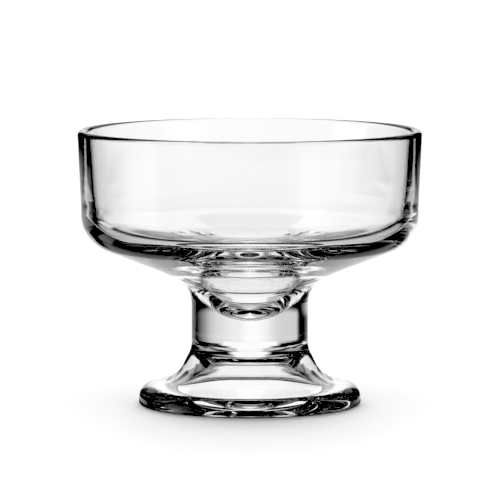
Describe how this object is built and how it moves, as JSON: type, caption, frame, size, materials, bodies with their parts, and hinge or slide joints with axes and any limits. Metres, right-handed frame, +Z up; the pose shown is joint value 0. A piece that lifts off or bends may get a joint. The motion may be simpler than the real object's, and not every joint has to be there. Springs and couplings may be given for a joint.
{
  "type": "footed dessert glass",
  "caption": "Wide low bowl of thick clear pressed glass on a short solid stem and a flared round foot, for ice cream, parfait or fruit.",
  "frame": {"origin": "centre of the ring that the foot stands on, at table level", "axes": "+Z up along the axis of the glass; the glass is round, so X and Y are free, and -Y faces the picture's camera"},
  "size_m": [0.1048, 0.1048, 0.0836],
  "materials": {
    "bowl_glass": "fire-polished clear glass",
    "stem_glass": "fire-polished clear glass",
    "foot_glass": "fire-polished clear glass"
  },
  "bodies": {
    "root": {"bowl": "bowl_glass", "stem": "stem_glass", "foot": "foot_glass"}
  },
  "joints": []
}
